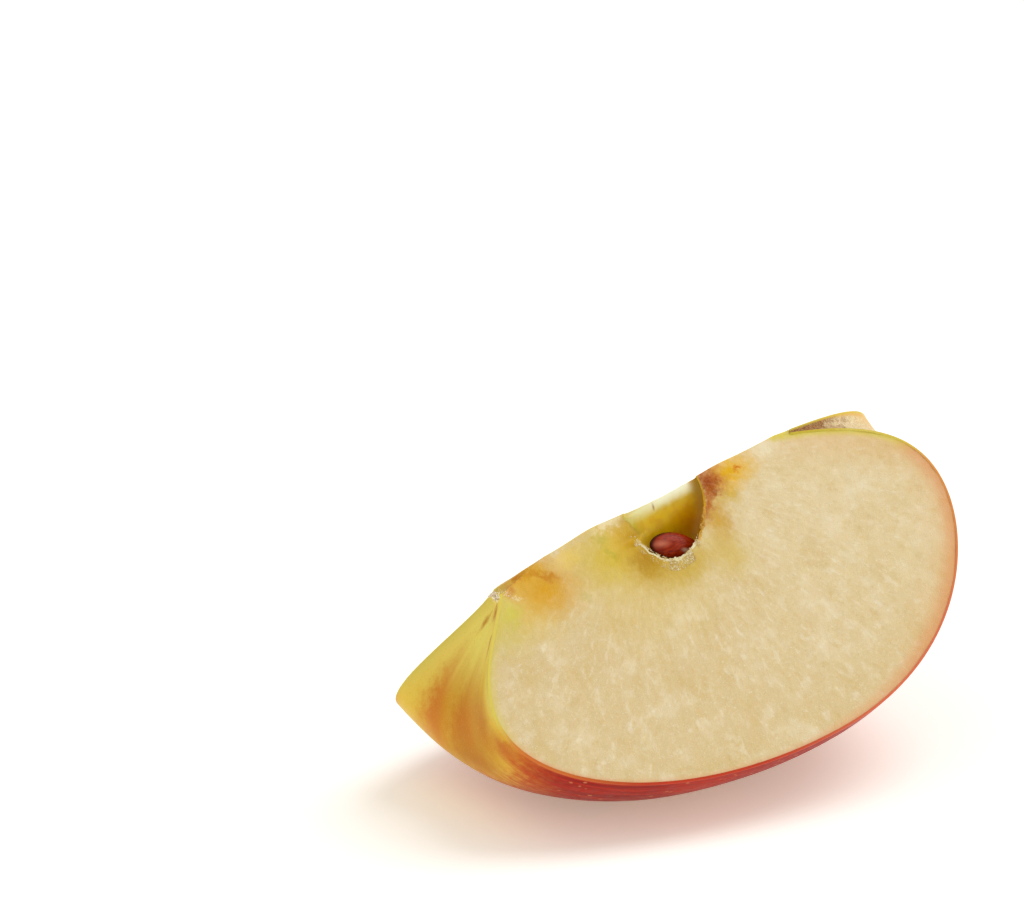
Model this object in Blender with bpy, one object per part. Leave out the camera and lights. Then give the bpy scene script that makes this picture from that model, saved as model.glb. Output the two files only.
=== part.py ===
"""A wedge of about a quarter cut from a red eating apple, lying on its skin with the core edge up.

The skin is a loft between the outlines of the two knife cuts, which meet in the core line. The front cut
has opened a seed pocket with one seed in it. At the low end are part of the dried calyx and of its tube,
and at the high end is a part of the hollow that the stem grew in.

Lengths are in metres, and angles in degrees. A pair holds the value at the front cut and at the back cut,
because the fruit isn't quite round. Along means along the core line, from calyx to stem, and across means
away from that line.
"""

import math

import bmesh
import bpy
from mathutils import Euler, Vector

# The whole fruit
RADIUS = (0.0380, 0.0377)
CALYX_REACH = (0.0486, 0.0495)
STEM_REACH = (0.0376, 0.0368)
CALYX_FULLNESS = (2.11, 2.24)
STEM_FULLNESS = (2.10, 2.13)
STEM_BROADENING = (0.038, 0.044)
SHOULDER_LIFT = (0.00014, 0.00036)

# The hollow at each end
CALYX_FLOOR = -0.0275
CALYX_HOLLOW_WIDTH = (0.0142, 0.0141)
CALYX_HOLLOW_CURVE = (1.46, 2.10)
STEM_FLOOR = 0.0160
STEM_HOLLOW_WIDTH = (0.0062, 0.0046)
STEM_HOLLOW_CURVE = (1.00, 1.02)

# The two cuts
WEDGE_ANGLE = 80.0
CORE_CREST = {"along": -0.0132, "spread": 0.0048, "rise": 0.0006}
CORE_SWELL = {"along": 0.0072, "spread": 0.0030, "rise": 0.0003}
CORE_RISE_FADE = 4
CUT_STRIPS = (0.1, 0.25, 0.5, 1.0)
TURN_STEPS = 52
SLICE_STEPS = 20

# How it lies
STEM_END_UP = 13.5
ROLL_TO_FRONT = 2.5
FLAT_SPOT_DEPTH = 0.0011
GROUND_BLOCK = 0.1

# The seed pocket, on the front cut: its middle line, how far it goes along, across and in, and how far its
# widest part is sunk below the cut, so that the flesh hangs over it at the low side
POCKET_ALONG = -0.00175
POCKET_LEAN = -0.20
POCKET_ACROSS = 0.0020
POCKET_HALF_WIDTH = 0.0071
POCKET_TO_CALYX = 0.0064
POCKET_TO_STEM = 0.0056
POCKET_NARROWING = 0.25
POCKET_DEPTH = 0.0090
POCKET_DEEPENING = 2.8
POCKET_SINK = 0.0015
POCKET_SINK_TO_STEM = 0.6
POCKET_SINK_TO_SKIN = 0.8
POCKET_SINK_CURVE = 1.5
POCKET_CLEARANCE = 0.0022
POCKET_SEGMENTS = 40
POCKET_RINGS = 26

# The seed
SEED_LENGTH = 0.0066
SEED_WIDTH = 0.0037
SEED_THICKNESS = 0.0021
SEED_ALONG = -0.0036
SEED_ACROSS = 0.0063
SEED_DEEP = 0.0015
SEED_LEAN = 22.0
SEED_DIP = -10.0
SEED_TAPER = 0.25
SEED_TAPER_CURVE = 2.2
SEED_SEGMENTS = 20
SEED_RINGS = 14

# The dried calyx: its tube, and the stubs of its sepals round the mouth
TUBE_MOUTH = 0.0021
TUBE_OUTER_END = -0.0300
TUBE_INNER_END = -0.0205
TUBE_SIDES = 20
TUBE_POINT_MERGE = 0.00001
SEPALS = 4
SEPAL_RING = 0.0022
SEPAL_FOOT = 0.0010
SEPAL_LENGTH = (0.0021, 0.0026)
SEPAL_WIDTH = 0.0007
SEPAL_TIP = 0.35
SEPAL_LEAN = 30.0
SEPAL_SIDES = 7

# Materials and shading
FLESH_COLOUR = (0.80, 0.66, 0.38)
FLESH_ROUGHNESS = 0.55
SEED_COLOUR = (0.26, 0.05, 0.03)
SEED_ROUGHNESS = 0.30
SHARP_ANGLE = 35.0

HALF_ANGLE = math.radians(WEDGE_ANGLE / 2)


def clear_scene():
    for old in list(bpy.data.objects):
        bpy.data.objects.remove(old, do_unlink=True)


def new_collection(name):
    collection = bpy.data.collections.new(name)
    bpy.context.scene.collection.children.link(collection)
    return collection


def new_material(name, colour, roughness):
    material = bpy.data.materials.new(name)
    material.use_nodes = True
    shader = material.node_tree.nodes["Principled BSDF"]
    shader.inputs["Base Color"].default_value = (*colour, 1.0)
    shader.inputs["Roughness"].default_value = roughness
    shader.inputs["Metallic"].default_value = 0.0
    return material


def new_object(name, bm, collection, parent, material=None):
    mesh = bpy.data.meshes.new(name)
    bm.to_mesh(mesh)
    bm.free()
    mesh.shade_smooth()
    mesh.set_sharp_from_angle(angle=math.radians(SHARP_ANGLE))
    made = bpy.data.objects.new(name, mesh)
    made.parent = parent
    collection.objects.link(made)
    if material:
        mesh.materials.append(material)
    return made


def new_empty(name, collection, parent=None):
    made = bpy.data.objects.new(name, None)
    made.parent = parent
    collection.objects.link(made)
    return made


def cutter_of(target, tool, operation):
    """Cuts or joins the target with the tool, which stays out of the picture."""
    tool.hide_render = True
    tool.display_type = "WIRE"
    modifier = target.modifiers.new(tool.name, "BOOLEAN")
    modifier.object = tool
    modifier.operation = operation
    modifier.solver = "EXACT"


def between(pair, share):
    """The value of a pair at a share of the way from the front cut to the back cut."""
    return pair[0] + (pair[1] - pair[0]) * share


def skin_at(turn, share):
    """(along, across) of the skin. turn runs from 0 at the calyx to pi at the stem."""
    towards_calyx = math.cos(turn)
    calyx_side = towards_calyx >= 0
    fullness = between(CALYX_FULLNESS if calyx_side else STEM_FULLNESS, share)
    power = 2 / fullness
    radius = between(RADIUS, share)
    across = radius * max(math.sin(turn), 0.0) ** power
    across *= 1 - between(STEM_BROADENING, share) * towards_calyx
    if calyx_side:
        reach = between(CALYX_REACH, share)
        along = -reach * abs(towards_calyx) ** power
        depth = reach + CALYX_FLOOR
        width = between(CALYX_HOLLOW_WIDTH, share)
        curve = between(CALYX_HOLLOW_CURVE, share)
    else:
        reach = between(STEM_REACH, share)
        along = reach * abs(towards_calyx) ** power
        depth = STEM_FLOOR - reach
        width = between(STEM_HOLLOW_WIDTH, share)
        curve = between(STEM_HOLLOW_CURVE, share)
    along += depth * math.exp(-((across / width) ** curve))
    along += between(SHOULDER_LIFT, share) * (across / RADIUS[0]) ** 2
    return along, across


def point_at(along, across, share):
    """A point of the wedge in its own axes: X along the core line, -Z down the middle of the wedge."""
    angle = HALF_ANGLE * (1 - 2 * share)
    return Vector((along, -across * math.sin(angle), -across * math.cos(angle)))


def core_rise(along):
    """How far the core edge stands above the straight line between its ends."""
    return sum(
        bump["rise"] * math.exp(-(((along - bump["along"]) / bump["spread"]) ** 2))
        for bump in (CORE_CREST, CORE_SWELL)
    )


def join_rows(bm, row, following):
    """Faces between two rows of points that share their ends."""
    for step in range(TURN_STEPS):
        corners = [row[step], row[step + 1], following[step + 1], following[step]]
        bm.faces.new(dict.fromkeys(corners))


def close_cut(bm, core, skin, share):
    """A knife cut, in strips from the core edge out to the skin."""
    row = core
    for strip in CUT_STRIPS[:-1]:
        following = [core[0]]
        for step in range(1, TURN_STEPS):
            straight = point_at(core[step].co.x, 0, share)
            point = straight.lerp(skin[step].co, strip)
            point.z += core_rise(core[step].co.x) * (1 - strip) ** CORE_RISE_FADE
            following.append(bm.verts.new(point))
        following.append(core[-1])
        join_rows(bm, row, following)
        row = following
    join_rows(bm, row, skin)


def wedge_mesh():
    """The skin as rows of points from cut to cut, closed by the two cuts."""
    bm = bmesh.new()
    core = []
    for step in range(TURN_STEPS + 1):
        along = CALYX_FLOOR + (STEM_FLOOR - CALYX_FLOOR) * step / TURN_STEPS
        rise = core_rise(along) if 0 < step < TURN_STEPS else 0.0
        core.append(bm.verts.new(point_at(along, 0, 0) + Vector((0, 0, rise))))
    rows = []
    for slice_number in range(SLICE_STEPS + 1):
        share = slice_number / SLICE_STEPS
        row = [core[0]]
        for step in range(1, TURN_STEPS):
            row.append(bm.verts.new(point_at(*skin_at(math.pi * step / TURN_STEPS, share), share)))
        rows.append(row + [core[-1]])
    for row, following in zip(rows, rows[1:]):
        join_rows(bm, row, following)
    close_cut(bm, core, rows[0], 0)
    close_cut(bm, core, rows[-1], 1)
    bmesh.ops.recalc_face_normals(bm, faces=bm.faces)
    return bm


def pocket_mesh():
    """A ball drawn out into the pocket: shallow at the core edge, deepest under the seed."""
    bm = bmesh.new()
    bmesh.ops.create_uvsphere(bm, u_segments=POCKET_SEGMENTS, v_segments=POCKET_RINGS, radius=1)
    for vertex in bm.verts:
        length, width, depth = vertex.co
        across = POCKET_ACROSS + POCKET_HALF_WIDTH * width
        reach = POCKET_TO_STEM
        if length < 0:
            reach = POCKET_TO_CALYX * (1 - POCKET_NARROWING * max(0.0, width))
        along = POCKET_ALONG + POCKET_LEAN * across + reach * length
        sunk_side = max(0.0, POCKET_SINK_TO_STEM * length + POCKET_SINK_TO_SKIN * width)
        if depth > 0:
            depth *= POCKET_DEPTH * ((1 + width) / 2) ** POCKET_DEEPENING
        else:
            depth *= POCKET_CLEARANCE
        vertex.co = (along, across, depth + POCKET_SINK * sunk_side**POCKET_SINK_CURVE)
    return bm


def seed_mesh():
    """A flattened drop, blunt at the calyx end and pointed at the stem end."""
    bm = bmesh.new()
    bmesh.ops.create_uvsphere(bm, u_segments=SEED_SEGMENTS, v_segments=SEED_RINGS, radius=0.5)
    for vertex in bm.verts:
        width, thickness, length = vertex.co
        narrowing = 1 - SEED_TAPER * max(0.0, length + 0.5) ** SEED_TAPER_CURVE
        vertex.co = (
            length * SEED_LENGTH,
            width * narrowing * SEED_WIDTH,
            thickness * narrowing * SEED_THICKNESS,
        )
    return bm


def tube_mesh():
    """The cone-shaped tube under the calyx."""
    bm = bmesh.new()
    bmesh.ops.create_cone(
        bm,
        cap_ends=True,
        segments=TUBE_SIDES,
        radius1=TUBE_MOUTH,
        radius2=0,
        depth=TUBE_INNER_END - TUBE_OUTER_END,
    )
    bmesh.ops.remove_doubles(bm, verts=bm.verts, dist=TUBE_POINT_MERGE)
    return bm


def sepal_mesh(length):
    """One dried stub, a blunt cone on its foot."""
    bm = bmesh.new()
    bmesh.ops.create_cone(
        bm,
        cap_ends=True,
        segments=SEPAL_SIDES,
        radius1=SEPAL_WIDTH,
        radius2=SEPAL_WIDTH * SEPAL_TIP,
        depth=length,
    )
    return bm


def lay_down(pose, wedge):
    """Turns the wedge as it lies, with the flat spot at Z 0 and the middle of its box on the Z axis."""
    pose.rotation_euler = Euler((-math.radians(ROLL_TO_FRONT), -math.radians(STEM_END_UP), 0))
    turned = [pose.rotation_euler.to_matrix() @ vertex.co for vertex in wedge.data.vertices]
    low = Vector([min(point[axis] for point in turned) for axis in range(3)])
    high = Vector([max(point[axis] for point in turned) for axis in range(3)])
    pose.location = (-(low.x + high.x) / 2, -(low.y + high.y) / 2, -low.z - FLAT_SPOT_DEPTH)


def build():
    clear_scene()
    parts = new_collection("apple_wedge")
    tools = new_collection("cutters")
    tools.hide_render = True
    flesh = new_material("flesh", FLESH_COLOUR, FLESH_ROUGHNESS)
    shell = new_material("seed_coat", SEED_COLOUR, SEED_ROUGHNESS)

    pose = new_empty("core_line", parts)
    wedge = new_object("apple_wedge", wedge_mesh(), parts, pose, flesh)
    lay_down(pose, wedge)

    front = new_empty("front_cut", parts, pose)
    front.rotation_euler.x = -(math.pi / 2 + HALF_ANGLE)

    pocket = new_object("pocket_cutter", pocket_mesh(), tools, front)
    cutter_of(wedge, pocket, "DIFFERENCE")

    tube = new_object("tube_cutter", tube_mesh(), tools, pose)
    tube.rotation_euler.y = math.pi / 2
    tube.location.x = (TUBE_OUTER_END + TUBE_INNER_END) / 2
    cutter_of(wedge, tube, "DIFFERENCE")

    for number in range(SEPALS):
        share = (number + 0.5) / SEPALS
        length = SEPAL_LENGTH[number % 2]
        sepal = new_object(f"sepal_{number + 1}", sepal_mesh(length), tools, pose)
        sepal.location = point_at(CALYX_FLOOR - length / 2 + SEPAL_FOOT, SEPAL_RING, share)
        out = point_at(0, 1, share)
        lean = math.radians(SEPAL_LEAN)
        axis = Vector((-math.cos(lean), 0, 0)) - out * math.sin(lean)
        sepal.rotation_euler = axis.to_track_quat("Z", "Y").to_euler()
        cutter_of(wedge, sepal, "UNION")

    bm = bmesh.new()
    bmesh.ops.create_cube(bm, size=GROUND_BLOCK)
    ground = new_object("ground_cutter", bm, tools, None)
    ground.location.z = -GROUND_BLOCK / 2
    cutter_of(wedge, ground, "DIFFERENCE")

    seed = new_object("seed", seed_mesh(), parts, front, shell)
    seed.location = (SEED_ALONG, SEED_ACROSS, SEED_DEEP)
    seed.rotation_euler = Euler((0, math.radians(SEED_DIP), math.radians(SEED_LEAN)))


build()
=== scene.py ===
import math

import bmesh
import bpy
import numpy as np
from mathutils import Euler, Matrix, Vector, noise


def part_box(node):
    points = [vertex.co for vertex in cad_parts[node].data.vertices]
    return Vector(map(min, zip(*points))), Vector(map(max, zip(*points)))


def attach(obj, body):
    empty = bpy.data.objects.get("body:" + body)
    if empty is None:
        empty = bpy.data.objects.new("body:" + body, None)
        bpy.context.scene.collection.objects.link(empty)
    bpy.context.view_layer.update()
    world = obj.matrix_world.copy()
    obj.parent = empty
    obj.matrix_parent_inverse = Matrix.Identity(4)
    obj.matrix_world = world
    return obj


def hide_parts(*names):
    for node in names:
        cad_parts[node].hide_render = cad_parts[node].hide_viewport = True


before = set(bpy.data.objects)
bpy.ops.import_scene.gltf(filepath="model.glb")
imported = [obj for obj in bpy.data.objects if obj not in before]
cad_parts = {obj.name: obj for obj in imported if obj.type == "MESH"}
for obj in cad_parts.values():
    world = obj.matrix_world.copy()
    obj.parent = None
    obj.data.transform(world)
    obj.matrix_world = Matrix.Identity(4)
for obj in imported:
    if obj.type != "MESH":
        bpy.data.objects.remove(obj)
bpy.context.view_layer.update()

# The flesh
# The moist, finely grained flesh of a round eating apple, between two cuts that a long knife made from end to
# end. The front cut has opened a seed pocket, and the tube under the dried calyx runs in along the core edge.
RADIUS = (0.0380, 0.0377)
CALYX_REACH = (0.0486, 0.0495)
STEM_REACH = (0.0376, 0.0368)
CALYX_FULLNESS = (2.11, 2.24)
STEM_FULLNESS = (2.10, 2.13)
STEM_BROADENING = (0.038, 0.044)
SHOULDER_LIFT = (0.00014, 0.00036)
CALYX_FLOOR = -0.0275
CALYX_HOLLOW_WIDTH = (0.0142, 0.0141)
CALYX_HOLLOW_CURVE = (1.46, 2.10)
STEM_FLOOR = 0.0160
STEM_HOLLOW_WIDTH = (0.0062, 0.0046)
STEM_HOLLOW_CURVE = (1.00, 1.02)
EQUATOR_FADE = 0.20
HALF_ANGLE = math.radians(80.0 / 2)
CORE_CREST = {"along": -0.0132, "spread": 0.0048, "rise": 0.0006}
CORE_SWELL = {"along": 0.0072, "spread": 0.0030, "rise": 0.0003}
CORE_RISE_FADE = 4
STEM_END_UP = math.radians(13.5)
ROLL_TO_FRONT = math.radians(2.5)
MM = 0.001

FLESH_TURNS = 380
FLESH_TURN_CROWD = {"centre": 0.57, "spread": 0.15, "gain": 1.2}
FRONT_STRIPS = 150
BACK_STRIPS = 70
STRIP_CROWD = {"centre": 0.10, "spread": 0.22, "gain": 1.6}
CROWDING_SAMPLES = 4001
UNDER_SKIN_SLICES = 26
OUTLINE_STEP = 0.0002
SKIN_THICKNESS = 0.00032
FLESH_UNDER_SKIN = 0.00020
POLE_FADE = 0.0007
FLOOR_CLEARANCE = 0.0003
SHARP_ANGLE = math.radians(50)


def between(pair, share):
    """The value of a pair at a share of the way from the front cut to the back cut."""
    return pair[0] + (pair[1] - pair[0]) * share


def smooth(value, low, high):
    """0 below low and 1 above high, with a soft run between them."""
    share = np.clip((value - low) / (high - low), 0, 1)
    return share * share * (3 - 2 * share)


def outline(turn, share):
    """(along, across) of the skin. turn runs from 0 at the calyx to pi at the stem."""
    towards_calyx = np.cos(turn) + 0 * share
    at_calyx = towards_calyx >= 0
    power = 2 / np.where(at_calyx, between(CALYX_FULLNESS, share), between(STEM_FULLNESS, share))
    across = between(RADIUS, share) * np.maximum(np.sin(turn), 0) ** power
    across = across * (1 - between(STEM_BROADENING, share) * towards_calyx)
    end = np.where(at_calyx, -between(CALYX_REACH, share), between(STEM_REACH, share))
    floor = np.where(at_calyx, CALYX_FLOOR, STEM_FLOOR)
    width = np.where(at_calyx, between(CALYX_HOLLOW_WIDTH, share), between(STEM_HOLLOW_WIDTH, share))
    curve = np.where(at_calyx, between(CALYX_HOLLOW_CURVE, share), between(STEM_HOLLOW_CURVE, share))
    along = end * np.abs(towards_calyx) ** power
    fade = smooth(np.abs(towards_calyx), 0, EQUATOR_FADE)
    along = along + (floor - end) * np.exp(-((across / width) ** curve)) * fade
    along = along + between(SHOULDER_LIFT, share) * (across / RADIUS[0]) ** 2
    return along, across


def under_skin(turn, share, depth):
    """(along, across) at a depth straight in from the skin, which fades out at the two ends of the core."""
    along, across = outline(turn, share)
    before = outline(np.maximum(turn - OUTLINE_STEP, 0), share)
    after = outline(np.minimum(turn + OUTLINE_STEP, math.pi), share)
    run_along = after[0] - before[0]
    run_across = after[1] - before[1]
    length = np.hypot(run_along, run_across)
    depth = depth * smooth(across, 0, POLE_FADE)
    return along + depth * run_across / length, across - depth * run_along / length


def crowded(count, centre, spread, gain):
    """count steps from 0 to 1 that lie closer together round the centre."""
    even = np.linspace(0, 1, CROWDING_SAMPLES)
    density = 1 + gain * np.exp(-(((even - centre) / spread) ** 2))
    run = np.concatenate([[0], np.cumsum(density[1:] + density[:-1])])
    return np.interp(np.linspace(0, 1, count + 1), run / run[-1], even)


def core_rise(along):
    """How far the core edge stands above the straight line between its ends."""
    return sum(
        bump["rise"] * np.exp(-(((along - bump["along"]) / bump["spread"]) ** 2))
        for bump in (CORE_CREST, CORE_SWELL)
    )


def wedge_points(turn, share, strip, depth):
    """Points of the wedge: X along the core, -Z down its middle. strip runs from the core to the skin."""
    along_skin, across_skin = under_skin(turn, share, depth)
    core = CALYX_FLOOR + (STEM_FLOOR - CALYX_FLOOR) * turn / math.pi
    along = core + (along_skin - core) * strip
    across = across_skin * strip
    angle = HALF_ANGLE * (1 - 2 * share)
    rise = core_rise(core) * (1 - strip) ** CORE_RISE_FADE * np.sin(turn)
    return np.stack([along, -across * np.sin(angle), rise - across * np.cos(angle)], axis=-1)


def hoop_mesh(name, hoops, pointed_ends):
    """A closed mesh through rings of points: each end is one point, or a flat band across a thin shell."""
    rings, size = hoops.shape[:2]
    numbers = np.arange(rings * size).reshape(rings, size)
    following = np.roll(numbers, -1, axis=1)
    first, last = (1, rings - 2) if pointed_ends else (0, rings - 1)
    this_row = slice(first, last)
    next_row = slice(first + 1, last + 1)
    corners = [numbers[this_row], following[this_row], following[next_row], numbers[next_row]]
    faces = np.stack(corners, axis=-1).reshape(-1, 4).tolist()
    for ring, pole in ((first, numbers[0, 0]), (last, numbers[-1, 0])):
        if pointed_ends:
            ends = [[pole, here, then] for here, then in zip(numbers[ring], following[ring])]
        else:
            half = size // 2
            mirror = numbers[ring][::-1]
            ends = [
                [numbers[ring][step], numbers[ring][step + 1], mirror[step + 1], mirror[step]]
                for step in range(half - 1)
            ]
        faces += [face[::-1] for face in ends] if ring == first else ends
    mesh = bpy.data.meshes.new(name)
    mesh.from_pydata(hoops.reshape(-1, 3).tolist(), [], faces)
    bm = bmesh.new()
    bm.from_mesh(mesh)
    loose = [vertex for vertex in bm.verts if not vertex.link_faces]
    bmesh.ops.delete(bm, geom=loose, context="VERTS")
    if bm.calc_volume(signed=True) < 0:
        bmesh.ops.reverse_faces(bm, faces=bm.faces)
    bm.to_mesh(mesh)
    bm.free()
    return mesh


def lumps(points, size, seed):
    """Smooth noise, about -1 to 1, whose lumps have the given size."""
    shift = Vector((seed, 2.3 * seed, 5.1 * seed))
    flat = np.asarray(points).reshape(-1, 3) / size
    return np.array([noise.noise(Vector(point) + shift) for point in flat]).reshape(points.shape[:-1])


def spot_on(along, across, spot):
    """1 at a spot's centre, fading to 0 at its spread. Sizes are in millimetres."""
    far = np.hypot(
        (along / MM - spot["at"][0]) / spot["spread"][0],
        (across / MM - spot["at"][1]) / spot["spread"][1],
    )
    return 1 - smooth(far, 0, 1)


POCKET_ALONG = -0.00175
POCKET_LEAN = -0.20
POCKET_ACROSS = 0.0020
POCKET_HALF_WIDTH = 0.0071
POCKET_TO_CALYX = 0.0064
POCKET_TO_STEM = 0.0056
POCKET_NARROWING = 0.25
POCKET_DEPTH = 0.0090
POCKET_DEEPENING = 2.8
POCKET_SINK = 0.0015
POCKET_SINK_TO_STEM = 0.6
POCKET_SINK_TO_SKIN = 0.8
POCKET_SINK_CURVE = 1.5
POCKET_CLEARANCE = 0.0022
KNIFE_RIPPLE = {"height": 0.000010, "wave": 0.0047, "lean": math.radians(62)}
KNIFE_RIPPLE_BENDS = 0.012
KNIFE_RIPPLE_SWELLS = 0.016
DENT_HEIGHT = 0.000045
DENT_SIZE = 0.0034
GRAIN_HEIGHT = 0.000032
GRAIN_SIZE = 0.0009
FIBRE_HEIGHT = 0.000020
FIBRE_CENTRE = (-0.003, -0.006)
FIBRE_COUNT = 34
FIBRE_LENGTH = 0.0024
SLOPE_TOP = -0.0135
SLOPE_FOOT = -0.0072
SLOPE_EDGE = (0.0028, 0.0046)
SLOPE_ENDS = (-0.0040, -0.0005)
SLOPE_SHARE = 0.85
BRUISE = {"at": (5.0, 2.2), "spread": (3.6, 3.4)}
BRUISE_HEIGHT = 0.00016
BRUISE_SIZE = 0.0007
TORN_LIP = {"at": (-5.2, 6.9), "spread": (4.6, 3.2)}
TORN_LIP_HEIGHT = 0.00016
CALYX_SLOPE = {"at": (-24.5, 1.5), "spread": (5.5, 4.0)}
CALYX_SLOPE_DEPTH = 0.00030
RELIEF_FADE = 0.0008


def fibre_field(along, across, seed):
    """Noise drawn out into the short streaks that run from the core out to the skin."""
    towards = np.arctan2(across - FIBRE_CENTRE[1], along - FIBRE_CENTRE[0]) * FIBRE_COUNT
    out = np.hypot(across - FIBRE_CENTRE[1], along - FIBRE_CENTRE[0]) / FIBRE_LENGTH
    return lumps(np.stack([towards, out, np.full_like(out, seed)], axis=-1), 1.0, seed)


def pocket_floor(across):
    """How deep the middle of the pocket is, at a distance from the core."""
    width = (across - POCKET_ACROSS) / POCKET_HALF_WIDTH
    return POCKET_DEPTH * np.clip((1 + width) / 2, 0, 1) ** POCKET_DEEPENING


def cut_relief(along, across, front):
    """How far a cut stands out from its flat plane."""
    points = np.stack([along, across, np.full_like(along, 0.01 * front)], axis=-1)
    ripple = along * math.cos(KNIFE_RIPPLE["lean"]) + across * math.sin(KNIFE_RIPPLE["lean"])
    ripple = np.sin(2 * math.pi * ripple / KNIFE_RIPPLE["wave"] + 2 * lumps(points, KNIFE_RIPPLE_BENDS, 3))
    relief = KNIFE_RIPPLE["height"] * ripple * (1 + lumps(points, KNIFE_RIPPLE_SWELLS, 5))
    relief += DENT_HEIGHT * lumps(points, DENT_SIZE, 6)
    relief += GRAIN_HEIGHT * (lumps(points, GRAIN_SIZE, 1) + 0.5 * lumps(points, GRAIN_SIZE / 2, 2))
    relief += FIBRE_HEIGHT * fibre_field(along, across, 7 + front)
    if front:
        slope = smooth(along, SLOPE_TOP, SLOPE_FOOT) * (1 - smooth(along, *SLOPE_ENDS))
        relief -= SLOPE_SHARE * pocket_floor(across) * slope * (1 - smooth(across, *SLOPE_EDGE))
        relief -= CALYX_SLOPE_DEPTH * spot_on(along, across, CALYX_SLOPE)
        rough = lumps(points, BRUISE_SIZE, 11) + 0.6 * lumps(points, BRUISE_SIZE / 2, 12)
        relief += BRUISE_HEIGHT * rough * spot_on(along, across, BRUISE)
        torn = 0.6 + lumps(points, BRUISE_SIZE, 13) + 0.7 * lumps(points, BRUISE_SIZE / 2.4, 14)
        relief += TORN_LIP_HEIGHT * torn * spot_on(along, across, TORN_LIP)
    return relief * smooth(across, 0, RELIEF_FADE)


FRONT_CUT = Matrix.Rotation(-(math.pi / 2 + HALF_ANGLE), 4, "X")
FRONT_OUT = -np.array(FRONT_CUT.col[2].xyz)
BACK_OUT = FRONT_OUT * (1, -1, 1)

flesh_turn = math.pi * crowded(FLESH_TURNS, **FLESH_TURN_CROWD)[:, None]
front_strip = crowded(FRONT_STRIPS, **STRIP_CROWD)
back_strip = crowded(BACK_STRIPS, **STRIP_CROWD)
slices = np.linspace(0, 1, UNDER_SKIN_SLICES + 1)
loop_strip = np.concatenate([front_strip[:-1], np.ones_like(slices), back_strip[-2:0:-1]])[None, :]
loop_share = np.concatenate([np.zeros(FRONT_STRIPS), slices, np.ones(BACK_STRIPS - 1)])[None, :]
flesh_points = wedge_points(flesh_turn, loop_share, loop_strip, FLESH_UNDER_SKIN)
for is_front, columns, out in (
    (True, slice(0, FRONT_STRIPS + 1), FRONT_OUT),
    (False, slice(FRONT_STRIPS + UNDER_SKIN_SLICES, None), BACK_OUT),
):
    face = flesh_points[:, columns]
    reach = np.hypot(face[..., 1], face[..., 2])
    flesh_points[:, columns] = face + cut_relief(face[..., 0], reach, is_front)[..., None] * out
flesh_mesh = hoop_mesh("flesh", flesh_points, True)

POCKET_SEGMENTS = 150
POCKET_RINGS = 110
POCKET_WALL = 0.00022
POCKET_RAGGED = 0.00022
POCKET_RAGGED_SIZE = 0.0011
POCKET_RAGGED_ACROSS = (0.0022, 0.0045)
POCKET_RAGGED_DEEP = (0.0006, 0.0022)
TUBE_MOUTH = 0.0021
TUBE_TIP = TUBE_MOUTH / 40
TUBE_OUTER_END = -0.0300
TUBE_INNER_END = -0.0205
TUBE_SIDES = 48


def ball_mesh(name, segments, rings, radius):
    """A ball whose points and faces come in the same order on every run."""
    down = np.linspace(0, math.pi, rings + 1)[:, None]
    about = np.linspace(0, 2 * math.pi, segments, endpoint=False)[None, :]
    flat = np.sin(down)
    hoops = np.stack([flat * np.cos(about), flat * np.sin(about), np.cos(down) + 0 * about], axis=-1)
    return hoop_mesh(name, radius * hoops, True)


def pocket_point(length, width, depth):
    """Where a point of a ball of radius 1 goes in the pocket, in the front cut's own axes."""
    across = POCKET_ACROSS + POCKET_HALF_WIDTH * width
    far = POCKET_TO_STEM
    if length < 0:
        far = POCKET_TO_CALYX * (1 - POCKET_NARROWING * max(0.0, width))
    along = POCKET_ALONG + POCKET_LEAN * across + far * length
    sunk_side = max(0.0, POCKET_SINK_TO_STEM * length + POCKET_SINK_TO_SKIN * width)
    if depth > 0:
        depth *= POCKET_DEPTH * ((1 + width) / 2) ** POCKET_DEEPENING
    else:
        depth *= POCKET_CLEARANCE
    return Vector((along, across, depth + POCKET_SINK * sunk_side**POCKET_SINK_CURVE))


def pocket_mesh(grown):
    """The pocket, made from a ball: shallow at the core edge, deepest under the seed, ragged at its lip."""
    mesh = ball_mesh("pocket", POCKET_SEGMENTS, POCKET_RINGS, 1)
    bm = bmesh.new()
    bm.from_mesh(mesh)
    for vertex in bm.verts:
        vertex.co = pocket_point(*vertex.co)
    bm.normal_update()
    for vertex in bm.verts:
        along, across, depth = vertex.co
        ragged = float(smooth(across, *POCKET_RAGGED_ACROSS) * (1 - smooth(depth, *POCKET_RAGGED_DEEP)))
        coarse = noise.noise(vertex.co / POCKET_RAGGED_SIZE)
        fine = noise.noise(vertex.co * 2.7 / POCKET_RAGGED_SIZE)
        vertex.co += vertex.normal * (grown + POCKET_RAGGED * ragged * (coarse + 0.6 * fine))
    bm.transform(FRONT_CUT)
    bm.to_mesh(mesh)
    bm.free()
    return mesh


def tube_mesh():
    """The cone-shaped tube under the calyx."""
    bm = bmesh.new()
    bmesh.ops.create_cone(
        bm,
        cap_ends=True,
        segments=TUBE_SIDES,
        radius1=TUBE_MOUTH,
        radius2=TUBE_TIP,
        depth=TUBE_INNER_END - TUBE_OUTER_END,
    )
    middle = Matrix.Translation(((TUBE_OUTER_END + TUBE_INNER_END) / 2, 0, 0))
    bm.transform(middle @ Matrix.Rotation(math.pi / 2, 4, "Y"))
    mesh = bpy.data.meshes.new("tube")
    bm.to_mesh(mesh)
    bm.free()
    return mesh


def in_scene(name, data):
    """A new object in the scene."""
    made = bpy.data.objects.new(name, data)
    bpy.context.scene.collection.objects.link(made)
    return made


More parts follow.
